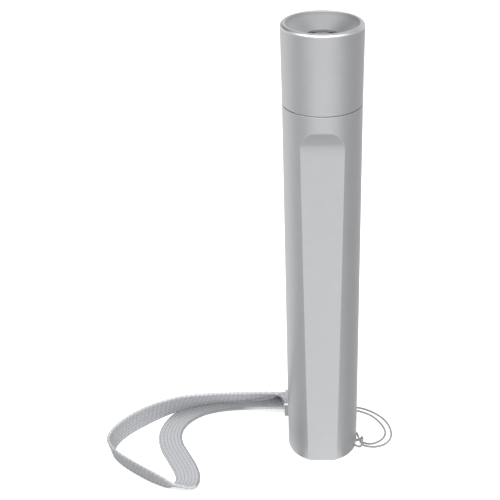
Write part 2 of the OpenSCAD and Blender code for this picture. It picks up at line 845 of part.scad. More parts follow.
// Width directions carried along the cord without a twist
function carry(p, i, w) = let (t = travel(p, i)) unit(w - (w * t) * t);
function carried(p, i) = i == 0 ? carry(p, 0, [0, 0, 1]) : carry(p, i, carried(p, i - 1));
function cord_width() = [for (i = [0 : len(cord_route) - 1]) carried(cord_route, i)];

barrel();
neck_seal();
battery_sleeve();
tail_contact_plate();
tail_contact_screw();
tail_spring();
strap_webbing();
strap_clamp();
cord_ferrule();
lanyard_cord();
cell_rear();
cell_front();
heat_sink();
driver_board();
driver_parts();
driver_ring();
front_spring();
engine_clip();
led_board();
led_emitter();
led_collar();
led_screws();
led_leads();
head_shell();
lens();
lens_seal();
lens_ring();
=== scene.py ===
# %% [markdown]
# # A flashlight with a twist head, a wrist loop and a thin cord
# The CAD model is loaded first and stays where it is: it is the frame that
# every other piece is built on. What the CAD holds as a plain solid but the
# real thing has as cloth, yarn or wire is then modelled again in full.

import json
import math

import bpy
import numpy as np
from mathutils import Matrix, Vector

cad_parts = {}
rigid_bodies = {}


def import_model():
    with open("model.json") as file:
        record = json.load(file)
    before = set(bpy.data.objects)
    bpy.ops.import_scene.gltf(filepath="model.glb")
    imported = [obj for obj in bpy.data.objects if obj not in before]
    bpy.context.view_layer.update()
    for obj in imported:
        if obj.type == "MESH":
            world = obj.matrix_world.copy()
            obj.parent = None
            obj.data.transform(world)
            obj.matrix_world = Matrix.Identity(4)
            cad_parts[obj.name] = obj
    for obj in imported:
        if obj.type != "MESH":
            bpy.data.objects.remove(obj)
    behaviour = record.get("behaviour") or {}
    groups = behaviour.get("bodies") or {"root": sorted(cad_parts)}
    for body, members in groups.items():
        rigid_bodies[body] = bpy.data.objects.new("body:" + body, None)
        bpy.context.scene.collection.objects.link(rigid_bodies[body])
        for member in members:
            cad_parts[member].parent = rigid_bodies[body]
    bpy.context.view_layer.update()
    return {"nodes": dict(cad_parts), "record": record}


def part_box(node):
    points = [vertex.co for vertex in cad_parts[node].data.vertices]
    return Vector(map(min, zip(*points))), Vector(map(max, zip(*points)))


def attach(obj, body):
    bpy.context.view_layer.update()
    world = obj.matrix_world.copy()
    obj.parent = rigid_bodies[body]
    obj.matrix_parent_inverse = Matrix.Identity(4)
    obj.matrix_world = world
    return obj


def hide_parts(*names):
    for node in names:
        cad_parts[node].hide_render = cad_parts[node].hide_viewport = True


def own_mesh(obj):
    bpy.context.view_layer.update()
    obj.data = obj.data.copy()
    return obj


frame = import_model()
MM = 0.001

# %% [markdown]
# ## The camera
# The photo was taken from 30 degrees above the horizon, close enough for the
# tail to look narrower than the rim. The lens and the distance below were
# fitted to the rim, the seam, the tail edge and the two outlines. The object
# stands right of the picture's middle, which is a small sideways shift.

# %% Camera
camera_data = bpy.data.cameras.new("camera")
camera_data.lens = 74.66
camera_data.sensor_width = 36.0
camera_data.shift_x = -0.145
camera_data.clip_start = 0.01
camera = bpy.data.objects.new("camera", camera_data)
camera.location = (0.0, -0.360, 0.3008)
camera.rotation_euler = (math.radians(60.48), 0.0, 0.0)
bpy.context.collection.objects.link(camera)
bpy.context.scene.camera = camera
print("camera", camera_data.lens, "mm lens at", tuple(camera.location))

# %% [markdown]
# ## Routes of the webbing and the cord
# Both are fixed lengths of something limp that lie on the surface the
# flashlight stands on. Their routes repeat the CAD model's points, in
# millimetres. The webbing also has a lean at each point: 0 lies flat, 90
# stands on its edge and 180 lies flat with its other side up. A smooth curve
# through the points is cut into even steps, one for each ring of the mesh.

# %% Routes
STRAP_ROUTE = [
    (-10, 22, 5.5, 0), (-17.5, 22, 5.5, 0), (-18.8, 21.8, 7.1, 18),
    (-20.3, 21.5, 8.3, 36), (-22.5, 21, 9.1, 43), (-26, 20.7, 9.1, 49),
    (-33, 21.1, 7.9, 56), (-41, 21.7, 6.8, 60), (-49, 21.4, 6.6, 62),
    (-57, 19.8, 6.7, 66), (-64, 17.4, 7, 73), (-71, 14.5, 6.5, 80),
    (-78.6, 10.5, 5.6, 88), (-85.8, 4, 5.4, 90), (-90.4, -3, 5.4, 92),
    (-91.8, -9.1, 5.4, 98), (-90.2, -14, 5.4, 104), (-85.8, -19.2, 5.4, 107),
    (-80.2, -23.8, 5.4, 107), (-74.3, -28, 5.3, 108), (-69.1, -31.2, 5.2, 111),
    (-64.9, -33.3, 4.9, 117), (-61.4, -34, 4, 136), (-58.8, -32.7, 2.5, 160),
    (-57.2, -30.1, 1.2, 176), (-56.8, -26, 0.9, 180), (-58.5, -20.4, 0.85, 180),
    (-62.3, -13, 0.85, 180), (-65.9, -6, 0.85, 180), (-67.7, 1, 0.85, 180),
    (-66.9, 8, 0.85, 180), (-63.2, 15, 0.85, 180), (-56.6, 20.7, 0.85, 180),
    (-48, 24, 0.85, 180), (-40, 25, 1.1, 180), (-33, 24.4, 2, 180),
    (-25, 22.9, 3.5, 180), (-20.5, 22.2, 4, 180), (-17.5, 22, 4.1, 180),
    (-10, 22, 4.1, 180)]
CORD_ROUTE = [
    (-5.9, 22.9, 1.9), (-4.4, 23, 1.8), (0, 23.5, 1.2), (8, 23.4, 0.6),
    (14, 22.7, 0.5), (19.4, 21.1, 0.5), (23.8, 18.2, 0.5), (27.6, 14.1, 0.5),
    (30.1, 8.8, 0.5), (30.8, 3.4, 0.5), (29.6, -1, 0.5), (26.8, -4.1, 0.5),
    (23, -5.4, 0.5), (19.8, -5.2, 0.6), (18, -4.39, 0.69), (16.45, -3.41, 2.46),
    (15.31, -1.1, 3.69), (13.44, -0.74, 3.2), (11.31, -1.36, 3.23),
    (10.41, -2.85, 1.53), (10.94, -3.47, 0.54), (13.4, -3.9, 0.5), (15, -4.7, 0.5),
    (16.3, -5.6, 0.8), (17.41, -5.64, 2.01), (17.3, -4.9, 2.8), (17.74, -2.8, 3.14),
    (17.43, -1.34, 2.5), (16.84, -0.74, 1.04), (15, -1, 0.5), (13.2, -1.5, 0.5),
    (11.56, -1.25, 0.52), (10.59, -0.69, 1.7), (11.52, -0.16, 3.09),
    (13.59, 0.49, 3.99), (15.41, 0.11, 3.4), (16.23, -1.84, 1.78),
    (17.55, -2.9, 1.14), (20.2, -3.5, 0.6), (23, -2.9, 0.5), (25.8, -1, 0.5),
    (27.6, 1.8, 0.5), (28.1, 5.4, 0.5), (26.8, 9.8, 0.5), (24.2, 14.2, 0.5),
    (20.6, 17.6, 0.5), (15, 20.2, 0.5), (8, 21.4, 0.6), (0, 21.4, 1.2),
    (-4.4, 21.1, 1.8), (-5.9, 21.1, 1.9)]
STRAP_WIDTH, STRAP_THICK = 10.4, 1.2
CORD_DIAMETER = 0.85
STRAP_STEP, CORD_STEP = 0.28, 0.16    # mm from one ring to the next
SPAN_POINTS = 24                      # of the curve, for each point of a route


def smooth_line(rows, step):
    """Catmull-Rom curve through rows, resampled at an even step along it."""
    rows = np.array(rows, float)
    padded = np.vstack([2 * rows[0] - rows[1], rows, 2 * rows[-1] - rows[-2]])
    t = np.linspace(0, 1, SPAN_POINTS, endpoint=False)[:, None]
    spans = []
    for a, b, c, d in zip(padded, padded[1:], padded[2:], padded[3:]):
        spans.append(0.5 * (2 * b + (c - a) * t + (2 * a - 5 * b + 4 * c - d) * t**2
                            + (3 * b - a - 3 * c + d) * t**3))
    fine = np.vstack(spans + [rows[-1:]])
    steps = np.linalg.norm(np.diff(fine[:, :3], axis=0), axis=1)
    along = np.concatenate([[0], np.cumsum(steps)])
    even = np.linspace(0, along[-1], int(round(along[-1] / step)) + 1)
    return np.stack([np.interp(even, along, k) for k in fine.T], 1), even


def unit(v):
    return v / np.linalg.norm(v, axis=-1, keepdims=True)


strap_line, strap_along = smooth_line(STRAP_ROUTE, STRAP_STEP)
cord_line, cord_along = smooth_line(CORD_ROUTE, CORD_STEP)
print("webbing", round(strap_along[-1], 1), "mm, cord", round(cord_along[-1], 1), "mm")

# %% [markdown]
# ## A mesh helper
# Every swept piece ends as rings of points joined by quads. NumPy makes the
# points, and one helper hands them to Blender with smooth shading and with a
# UV map that runs in millimetres, along the piece and around it. The two cut
# ends stay at zero on that map.


# %% Mesh helpers
def new_object(name, data):
    obj = bpy.data.objects.new(name, data)
    bpy.context.collection.objects.link(obj)
    return obj


def tube_mesh(name, rings, along, around):
    """A closed tube from rings[n][m] of points in millimetres."""
    n, m = rings.shape[:2]
    i, j = np.meshgrid(np.arange(n - 1), np.arange(m), indexing="ij")
    k = (j + 1) % m
    quads = np.stack([i * m + j, i * m + k, (i + 1) * m + k, (i + 1) * m + j], -1)
    ends = [list(range(m - 1, -1, -1)), list(range((n - 1) * m, n * m))]
    mesh = bpy.data.meshes.new(name)
    mesh.from_pydata((rings.reshape(-1, 3) * MM).tolist(), [],
                     quads.reshape(-1, 4).tolist() + ends)
    around = np.append(around, 2 * around[-1] - around[-2])
    grid = np.stack([np.stack([along[a], around[b]], -1) for a, b in
                     ((i, j), (i, j + 1), (i + 1, j + 1), (i + 1, j))], -2)
    uv = np.zeros((len(mesh.loops), 2))
    uv[:grid.size // 2] = grid.reshape(-1, 2)
    mesh.uv_layers.new(name="length_mm").data.foreach_set("uv", uv.ravel())
    mesh.shade_smooth()
    mesh.update()
    return mesh


print("mesh helpers ready")

# %% [markdown]
# ## The webbing
# A wrist loop like this is a narrow flat weave. Thick warp bundles run along
# it and show as seven ribs with grooves between them. The weft lifts the
# face a little at every pick and pulls each bundle in, every second pick on
# every second bundle, so the face is a staggered field of small pads, and
# the edges are scalloped where the weft turns back. The ribbon is a mesh
# with enough points for that relief, because it is what catches the light
# on the parts that stand on edge. A simulation isn't needed: the route is
# already the shape that the webbing lies in, and a flat strap would only
# lose its edges to a remesh.

# %% Webbing
WARP_RIBS = 7
PICK = 1.05            # mm between weft passes
RIB_DEPTH = 0.11       # mm that the grooves are sunk
PAD_HEIGHT = 0.07      # mm that one pad stands above its ends
PICK_HEIGHT = 0.07     # mm that a pick lifts all seven ribs
SCALLOP = 0.04         # mm that the edges go in and out
CORNER = 0.4           # rounding of the edges, as a share of half the thickness
FACE_POINTS, EDGE_POINTS = 36, 8    # of the outline, on a face and round an edge


def ribbon_axes(line):
    """Travel, width and face directions of the leaning ribbon."""
    places, lean = line[:, :3], np.radians(line[:, 3])[:, None]
    travel = unit(np.gradient(places, axis=0))
    side = unit(np.cross([0.0, 0.0, 1.0], travel))
    lifted = np.cross(travel, side)
    width = side * np.cos(lean) + lifted * np.sin(lean)
    return travel, width, np.cross(travel, width)


def strap_section():
    """Outline of the webbing's cut end: across, out and which way is out."""
    half, thick = STRAP_WIDTH / 2, STRAP_THICK / 2
    corner = thick * CORNER
    flat = half - corner
    top = [(u, thick, 0.0, 1.0) for u in np.linspace(flat, -flat, FACE_POINTS)]
    left = [(-flat + corner * math.cos(a), thick * math.sin(a),
             math.cos(a), math.sin(a))
            for a in np.radians(np.linspace(90, 270, EDGE_POINTS))[1:-1]]
    return np.array(top + left + [(-u, -h, -p, -q) for u, h, p, q in top + left])


def weave_height(along, section):
    """Relief of the weave in mm, for each ring and each point of the outline."""
    across, out_side, out_face = section[:, 0], section[:, 2], section[:, 3]
    rib = (across / STRAP_WIDTH + 0.5) * WARP_RIBS
    pick = along[:, None] / PICK
    flatness = np.abs(out_face)
    groove = np.abs(np.cos(np.pi * rib)) ** 3
    stagger = np.floor(rib) % 2 + np.where(out_face > 0, 0.0, 1.0)
    pads = np.cos(np.pi * (pick + stagger)) * np.sin(np.pi * (rib % 1.0)) ** 0.5
    picks = np.cos(2 * np.pi * pick)
    edge = np.cos(np.pi * pick + np.where(out_side > 0, 0.0, np.pi))
    relief = PAD_HEIGHT * pads + PICK_HEIGHT * picks - RIB_DEPTH * groove
    return flatness * relief + (1 - flatness) * SCALLOP * edge - SCALLOP


section = strap_section()
travel, width, face = ribbon_axes(strap_line)
height = weave_height(strap_along, section)
sideways = (section[:, 0] + height * section[:, 2])[..., None] * width[:, None, :]
outwards = (section[:, 1] + height * section[:, 3])[..., None] * face[:, None, :]
strap_rings = strap_line[:, None, :3] + (sideways + outwards)
lap = np.concatenate([[0], np.cumsum(np.hypot(*np.diff(section[:, :2], axis=0).T))])
strap = new_object("wrist_loop", tube_mesh("wrist_loop", strap_rings, strap_along, lap))
print("webbing", len(strap.data.polygons), "faces, lowest",
      round(float(strap_rings[..., 2].min()), 3), "mm")

# %% [markdown]
# ## The lanyard cord
# The cord is braided round a soft core. At this thickness a braid is a skin
# of small slanted pads, so the tube's radius follows two sets of spirals
# that cross. The ring's width direction is carried along the route from one
# ring to the next, which keeps the braid from twisting in the knot.

# %% Cord
CORD_SIDES = 16
BRAID_STARTS = 4       # strands that wind each way
BRAID_LAY = 4.8        # mm of cord for one full turn of a strand
BRAID_MEAN, BRAID_SWING = 0.97, 0.04    # of the cord's radius


def carried_axes(places):
    """Two directions across the line, carried along it without a twist."""
    travel = unit(np.gradient(places, axis=0))
    first = np.zeros_like(travel)
    guess = np.array([0.0, 0.0, 1.0])
    for i, t in enumerate(travel):
        guess = guess - np.dot(guess, t) * t
        guess /= np.linalg.norm(guess)
        first[i] = guess
    return first, np.cross(travel, first)


turn = np.linspace(0, 2 * np.pi, CORD_SIDES, endpoint=False)
spiral = 2 * np.pi * cord_along[:, None] / BRAID_LAY
braid = np.cos(BRAID_STARTS * (turn + spiral)) * np.cos(BRAID_STARTS * (turn - spiral))
radius = CORD_DIAMETER / 2 * (BRAID_MEAN + BRAID_SWING * braid)
first, second = carried_axes(cord_line[:, :3])
cord_rings = (cord_line[:, None, :3]
              + (radius * np.cos(turn))[..., None] * first[:, None, :]
              + (radius * np.sin(turn))[..., None] * second[:, None, :])
cord = new_object("lanyard", tube_mesh(
    "lanyard", cord_rings, cord_along, turn * CORD_DIAMETER / 2))
print("cord", len(cord.data.polygons), "faces, lowest",
      round(float(cord_rings[..., 2].min()), 3), "mm")

# %% [markdown]
# ## Writing node trees as expressions
# A shader or a geometry tree is easier to read as arithmetic than as a list
# of links. `Wire` wraps a socket and adds the operators, and `Tree` makes any
# other node from its type, its settings and the values of its sockets. Most
# masks below are soft steps: `above` takes where a step starts and where it
# is complete.


# %% Node helpers
class Wire:
    """An output socket that Python's operators work on."""

    def __init__(self, tree, socket):
        self.tree = tree
        self.socket = socket

    def math(self, operation, *others, swap=False):
        values = [self, *others]
        if swap:
            values.reverse()
        return self.tree.node("ShaderNodeMath", {"operation": operation},
                              dict(enumerate(values)))

    def __add__(self, other):
        return self.math("ADD", other)

    def __sub__(self, other):
        return self.math("SUBTRACT", other)

    def __rsub__(self, other):
        return self.math("SUBTRACT", other, swap=True)

    def __mul__(self, other):
        return self.math("MULTIPLY", other)

    def __truediv__(self, other):
        return self.math("DIVIDE", other)

    def __rtruediv__(self, other):
        return self.math("DIVIDE", other, swap=True)

    def __pow__(self, other):
        return self.math("POWER", other)

    def __neg__(self):
        return self.math("MULTIPLY", -1.0)

    __radd__ = __add__
    __rmul__ = __mul__

    def above(self, low, high):
        """0 below low, 1 above high and smooth in between."""
        return self.tree.node(
            "ShaderNodeMapRange", {"interpolation_type": "SMOOTHSTEP"},
            {"Value": self, "From Min": low, "From Max": high})

    def between(self, rise, fall):
        """1 from the end of the step rise to the start of the step fall, else 0."""
        return self.above(*rise) * (1 - self.above(*fall))


class Tree:
    """A node tree with one method that makes any node."""

    def __init__(self, nodes, links):
        self.nodes = nodes
        self.links = links

    def node(self, kind, settings=None, sockets=None, out=0):
        made = self.nodes.new(kind)
        for key, value in (settings or {}).items():
            setattr(made, key, value)
        for key, value in (sockets or {}).items():
            self.feed(made.inputs[key], value)
        return Wire(self, made.outputs[out])

    def feed(self, socket, value):
        if isinstance(value, Wire):
            self.links.new(value.socket, socket)
        else:
            socket.default_value = value

    def outputs(self, kind, keys, sockets=None):
        """Several outputs of one node."""
        made = self.node(kind, None, sockets).socket.node
        return [Wire(self, made.outputs[key]) for key in keys]

    def parts(self, vector):
        """A vector's x, y and z."""
        return self.outputs("ShaderNodeSeparateXYZ", (0, 1, 2), {0: vector})


print("node helpers ready")

# %% [markdown]
# ## One class for every finish
# A finish is a Principled shader whose inputs are fed by procedural patterns.
# The patterns are placed in millimetres on the object, so each has its real
# size, and a picture of the surface is never needed.


# %% Finish helper
class Finish(Tree):
    """A procedural material round one Principled shader."""

    def __init__(self, name, colour, **constants):
        self.material = bpy.data.materials.new(name)
        self.material.use_nodes = True
        super().__init__(self.material.node_tree.nodes, self.material.node_tree.links)
        self.nodes.clear()
        self.shader = self.nodes.new("ShaderNodeBsdfPrincipled")
        output = self.nodes.new("ShaderNodeOutputMaterial")
        self.links.new(self.shader.outputs[0], output.inputs["Surface"])
        self.colour = colour
        self.paint(base_color=(*colour, 1.0), **constants)

    def paint(self, **sockets):
        """Feeds the shader's inputs: base_color is Base Color."""
        for key, value in sockets.items():
            name = key.replace("_", " ").title().replace("Ior", "IOR")
            self.feed(self.shader.inputs[name], value)

    def place(self):
        """Where the point is on the object, in millimetres."""
        here = self.node("ShaderNodeTexCoord", out="Object")
        return self.node("ShaderNodeVectorMath", {"operation": "SCALE"},
                         {0: here, "Scale": 1000.0})

    def noise(self, where, size, detail=2.0, rough=0.5):
        """Noise whose lumps are about size millimetres across."""
        return self.node("ShaderNodeTexNoise", None,
                         {"Vector": where, "Scale": 1.0 / size, "Detail": detail,
                          "Roughness": rough})

    def tint(self, amount, low, high):
        """The colour, from low times its lightness to high times it."""
        dark = tuple(c * low for c in self.colour) + (1.0,)
        light = tuple(min(1.0, c * high) for c in self.colour) + (1.0,)
        return self.node("ShaderNodeMix", {"data_type": "RGBA"},
                         {0: amount, 6: dark, 7: light}, out=2)

    def relief(self, height, depth_mm):
        """Bump whose height runs from 0 to depth_mm."""
        return self.node("ShaderNodeBump", None,
                         {"Height": height, "Distance": depth_mm * MM, "Strength": 1.0})


print("finish helper ready")

# %% [markdown]
# ## Blasted and anodised metal
# The body and the head are turned aluminium, blasted with fine beads and anodised in
# their own silver. Blasting leaves dimples of a sixth of a millimetre that spread each
# reflection, and a faint trace of the turning stays under them. The rim is turned once
# more after anodising, so it is bare and bright. Shade is painted into the colour in
# two places, the upper part of the bowl just under the rim and the curved run-out above
# the flat: both are darker. Each of the three places is known from the radius and the
# height.

# %% Body metal
RIM_Z = 190.0
DIMPLE, SPECKLE, CLOUD = 0.16, 0.5, 6.0    # mm across
DIMPLE_DEPTH = 0.028                       # mm
# Steps in mm. The run-out cuts into the body's radius of 15, on its front.
LIP_RADIUS, LIP_Z = (13.35, 13.6), (RIM_Z - 1.4, RIM_Z - 1.1)
BOWL_FROM, BOWL_TO, BOWL_Z = (11.5, 13.2), (13.3, 13.5), (RIM_Z - 6.0, RIM_Z - 3.0)
RUN_OUT_RADIUS, RUN_OUT_FRONT = (14.93, 14.985), (12.0, 13.2)
RUN_OUT_FROM, RUN_OUT_TO = (142.5, 152.0), (152.5, 153.0)

body_metal = Finish("body_metal", (0.70, 0.706, 0.72), metallic=1.0)
here = body_metal.place()
x, y, z = body_metal.parts(here)
radial = (x * x + y * y) ** 0.5
dimples = body_metal.noise(here, DIMPLE, 2.0, 0.6)
clouds = body_metal.noise(here, CLOUD, 3.0, 0.6)
speckle = body_metal.noise(here, SPECKLE, 2.0, 0.7)
tooling = body_metal.node("ShaderNodeTexWave", {"bands_direction": "Z"},
                          {"Vector": here, "Scale": 0.9, "Distortion": 0.4,
                           "Detail": 2.0, "Detail Scale": 0.3})
bright_rim = radial.above(*LIP_RADIUS) * z.above(*LIP_Z)
# painted shade in the upper part of the bowl, under the rim
bowl_shade = radial.between(BOWL_FROM, BOWL_TO) * z.above(*BOWL_Z)
# painted shade on the curved run-out above the flat
run_out_shade = ((1 - radial.above(*RUN_OUT_RADIUS)) * z.between(RUN_OUT_FROM, RUN_OUT_TO)
           * (-y).above(*RUN_OUT_FRONT))
blasting = (clouds * 0.3 + dimples * 0.2 + speckle * 0.5) * 0.4 + 0.28
tone = blasting + bright_rim * 0.42 - bowl_shade * 0.27 - run_out_shade * 0.9
body_metal.paint(
    base_color=body_metal.tint(tone, 0.72, 1.30),
    roughness=(0.40 + clouds * 0.05 + dimples * 0.05) * (1 - bright_rim * 0.25),
    normal=body_metal.relief(dimples * (1 - bright_rim) + tooling * 0.08,
                             DIMPLE_DEPTH))
print("body metal", len(body_metal.nodes), "nodes")

# %% [markdown]
# ## The finishes inside
# Each inner piece has its own finish. They could be written one by one, but
# two recipes cover them: bare turned or drawn metal with fine lines round
# the axis, and a moulded or coated skin with an orange peel and some dust.
# The second also serves for rubber, solder mask, shrink wrap and the LED's
# lens, with another grain and gloss.

# %% Recipes for the inner pieces
WAVE_SPACING = 0.3     # between the lines of a Wave node at scale 1


def turned_metal(name, colour, rough, line=0.25):
    """Bare metal with lines that are line millimetres apart."""
    finish = Finish(name, colour, metallic=1.0)
    here = finish.place()
    lines = finish.node("ShaderNodeTexWave", {"bands_direction": "Z"},
                        {"Vector": here, "Scale": WAVE_SPACING / line,
                         "Distortion": 1.5, "Detail": 2.0})
    stain = finish.noise(here, 3.0, 3.0, 0.6)
    finish.paint(base_color=finish.tint(stain, 0.85, 1.08),
                 roughness=rough + stain * 0.15,
                 normal=finish.relief(lines, 0.006))
    return finish.material


def moulded_skin(name, colour, rough, grain):
    """A skin whose orange peel is grain millimetres across."""
    finish = Finish(name, colour)
    here = finish.place()
    dust = finish.noise(here, 4.0, 3.0, 0.6)
    finish.paint(base_color=finish.tint(dust, 0.85, 1.15),
                 roughness=rough + dust * 0.12,
                 normal=finish.relief(finish.noise(here, grain), 0.01))
    return finish.material


finishes = {"body_metal": body_metal.material}
for recipe, slot, *look in (
        (turned_metal, "sink_metal", (0.76, 0.76, 0.77), 0.28),
        (turned_metal, "screw_steel", (0.62, 0.61, 0.60), 0.25, 0.15),
        (turned_metal, "spring_steel", (0.78, 0.76, 0.72), 0.2, 0.1),
        (turned_metal, "contact_brass", (0.78, 0.60, 0.30), 0.25),
        (moulded_skin, "seal_rubber", (0.03, 0.03, 0.032), 0.5, 0.2),
        (moulded_skin, "black_plastic", (0.045, 0.045, 0.05), 0.45, 0.3),
        (moulded_skin, "cell_wrap", (0.09, 0.20, 0.38), 0.25, 2.0),
        (moulded_skin, "board_green", (0.03, 0.19, 0.09), 0.3, 0.6),
        (moulded_skin, "board_white", (0.82, 0.82, 0.80), 0.3, 0.6),
        (moulded_skin, "wire_sleeve", (0.40, 0.04, 0.04), 0.4, 0.5),
        (moulded_skin, "led_lens", (0.80, 0.66, 0.20), 0.12, 0.3)):
    finishes[slot] = recipe(slot, *look)
print("finishes", sorted(finishes))

# %% [markdown]
# ## The clamp
# The clamp is folded from sheet metal. Its top face is painted lighter and its sides
# darker, as light from above would leave them. Two materials would meet in a hard line,
# so it is one, and the height tells the two apart.

# %% Clamp metal
CLAMP_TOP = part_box("strap_clamp")[1][2] / MM
LIT_TOP_Z = (CLAMP_TOP - 0.6, CLAMP_TOP - 0.2)    # step in mm
clamp = Finish("clamp_metal", (0.72, 0.725, 0.74), metallic=1.0)
here = clamp.place()
stain = clamp.noise(here, 3.0, 3.0, 0.6)
# painted light: the top face is lighter than the sides
lit_top = clamp.parts(here)[2].above(*LIT_TOP_Z)
clamp.paint(base_color=clamp.tint(stain * 0.3 + lit_top * 0.8, 0.66, 1.27),
            roughness=0.48 + stain * 0.15,
            normal=clamp.relief(clamp.noise(here, 0.2, 2.0, 0.6), 0.006))
finishes["clamp_metal"] = clamp.material
print("clamp metal, top at", round(CLAMP_TOP, 2), "mm")

# %% [markdown]
# ## The lens
# The lens is clear and polished. It needs true glass, so that the light source under it
# shows bent and broken up. The dark arc at the back, where the dome looks at the inside
# of the head, is painted shade: the glass is tinted almost black outside a soft step
# from 2 to 3.8 mm out from the axis, down to its foot, where the dome meets its flange.

# %% Lens glass
DARK_RING_RADIUS = (2.0, 3.8)    # step in mm from the axis
glass = Finish("lens_glass", (0.97, 0.985, 0.99), metallic=0.0,
               transmission_weight=1.0, ior=1.49, coat_weight=1.0, coat_ior=2.0)
here = glass.place()
haze = glass.noise(here, 2.0, 3.0, 0.6)
x, y, _ = glass.parts(here)
# painted shade: the glass is tinted almost black away from the axis, for the dark arc
# at the back
painted_dark_ring = ((x * x + y * y) ** 0.5).above(*DARK_RING_RADIUS)
glass.paint(base_color=glass.tint(painted_dark_ring, 1.0, 0.03),
            roughness=0.015 + haze * 0.02,
            normal=glass.relief(glass.noise(here, 3.0, 1.0, 0.5), 0.004))
finishes["lens_glass"] = glass.material
print("lens glass", len(glass.nodes), "nodes")

# %% [markdown]
# ## Woven yarn
# The webbing and the cord are spun nylon in silver grey. The mesh already has the pads
# of the weave. Two finer things are left to the material: the fibres, which run along
# the webbing, and the colour, which is lighter on the picks and has painted shade down
# in the grooves. The UV map runs in millimetres, so both keep their size and follow
# every turn. It also tells the stretches of the webbing apart, and light and shade are
# painted on them: the far run is painted lighter, the band at the front darker, with
# the cross picks showing most, and the stretch that lies flat lighter, with the ribs
# showing most. The edges are painted lighter, and painted shade darkens them low down,
# near what the webbing lies on.

# %% Yarn
FIBRES_ALONG, FIBRES_ACROSS = 1.2, 9.0    # lumps to a millimetre
FLUFF = 0.25           # mm across
EDGE = STRAP_WIDTH - 0.8 * STRAP_THICK    # mm round the outline, just before an edge
FLOOR_SHADE_Z = (1.5, 2.5)  # step in mm above what it lies on
# Steps in mm along the webbing. It leaves the clamp on the far side, comes
# forward round the left end and goes back lying flat.
FAR_TO = (85.0, 98.0)
FRONT_FROM, FRONT_TO = (95.0, 102.0), (128.0, 140.0)
FLAT_FROM = (134.0, 144.0)


def yarn(name, colour, rib_mm, pick_mm, slant, depth, painted_stretches):
    """Spun fibre on a UV map in millimetres; the last argument is 1 to paint light and
    shade on the stretches of the webbing.
    """
    finish = Finish(name, colour, sheen_weight=0.25, sheen_roughness=0.4,
                    sheen_tint=(1.0, 1.0, 1.0, 1.0))
    run, across, _ = finish.parts(
        finish.node("ShaderNodeUVMap", {"uv_map": "length_mm"}))
    rib = (across / rib_mm).math("FRACT") - 0.5
    # the grooves between the ribs, which get painted shade below
    groove = (rib * rib * 4).above(0.45, 1.0)
    pick = ((run / pick_mm + across * slant) * math.pi).math("SINE")
    weft = (pick * pick).above(0.0, 0.7) * 0.4 + pick.above(-0.7, 0.7) * 0.4
    first_edge = across.between((EDGE - 0.1, EDGE + 0.1), (EDGE + 1.4, EDGE + 1.7))
    second_edge = across.above(2 * EDGE + 1.5, 2 * EDGE + 1.7)
    cut_end = (0.01 - run).above(0.0, 0.005)    # the two ends are at zero
    edge = first_edge + second_edge + cut_end
    where = finish.node("ShaderNodeCombineXYZ", None, {
        0: run * FIBRES_ALONG, 1: across * FIBRES_ACROSS})
    fibres = finish.noise(where, 1.0, 3.0, 0.6)
    here = finish.place()
    fluff = finish.noise(here, FLUFF, 3.0, 0.7)
    # painted shade on the edges low down, near what the webbing lies on
    floor_shade = 1 - finish.parts(here)[2].above(*FLOOR_SHADE_Z)
    # painted light and shade on the stretches: the far run lighter, the front band
    # darker, the flat run lighter
    far_run_light = (1 - run.above(*FAR_TO)) * painted_stretches
    front_band_shade_and_weft = run.between(FRONT_FROM, FRONT_TO) * painted_stretches
    flat_run_light_and_ribs = run.above(*FLAT_FROM) * painted_stretches
    # painted light on the edges, painted shade in the grooves and near the floor
    light = (fibres * 0.45 + fluff * 0.45 - 0.10 + edge * (0.28 - floor_shade * 0.9)
             + weft * (0.32 + front_band_shade_and_weft * 0.2 - flat_run_light_and_ribs * 0.2)
             - groove * (0.45 + flat_run_light_and_ribs * 0.15)
             + far_run_light * 0.09 - front_band_shade_and_weft * 0.36 + flat_run_light_and_ribs * 0.10)
    finish.paint(base_color=finish.tint(light.above(0.0, 1.3), 0.60, 1.50),
                 roughness=0.72 + fluff * 0.2,
                 normal=finish.relief(fibres * 0.5 + weft * 0.5, depth))
    return finish.material


finishes["webbing"] = yarn(
    "webbing", (0.50, 0.51, 0.53), rib_mm=STRAP_WIDTH / WARP_RIBS, pick_mm=PICK,
    slant=0.25, depth=0.05, painted_stretches=1.0)
finishes["cord_fibre"] = yarn(
    "cord_fibre", (0.37, 0.375, 0.385), rib_mm=0.35, pick_mm=0.5,
    slant=1.2, depth=0.02, painted_stretches=0.0)
print("yarns", finishes["webbing"].name, finishes["cord_fibre"].name)

# %% [markdown]
# ## Give every CAD node its finish
# The record says which slot each node has. A CAD node keeps its mesh, and
# only its material slot changes.

# %% Finishes on the CAD nodes
for entry in frame["record"]["subparts"]:
    node = frame["nodes"][entry["node"]]
    node.data.materials.clear()
    node.data.materials.append(finishes[entry["material_slot"]])

# %% [markdown]
# ## Hand the webbing and the cord to the frame
# Each takes the place of its plain CAD solid. Both are tied to the tail end,
# so they ride on the barrel and stay still when the head turns.

# %% Webbing and cord on the barrel
strap.data.materials.append(finishes["webbing"])
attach(strap, "barrel")
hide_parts("strap_webbing")
cord.data.materials.append(finishes["cord_fibre"])
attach(cord, "barrel")
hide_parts("lanyard_cord")
print("on the barrel:", strap.name, cord.name)

# %% [markdown]
# ## Geometry Nodes helpers
# What repeats or follows a rule is grown by a small tree, written in the
# same way as the shaders. Its sizes are named inputs of the modifier.


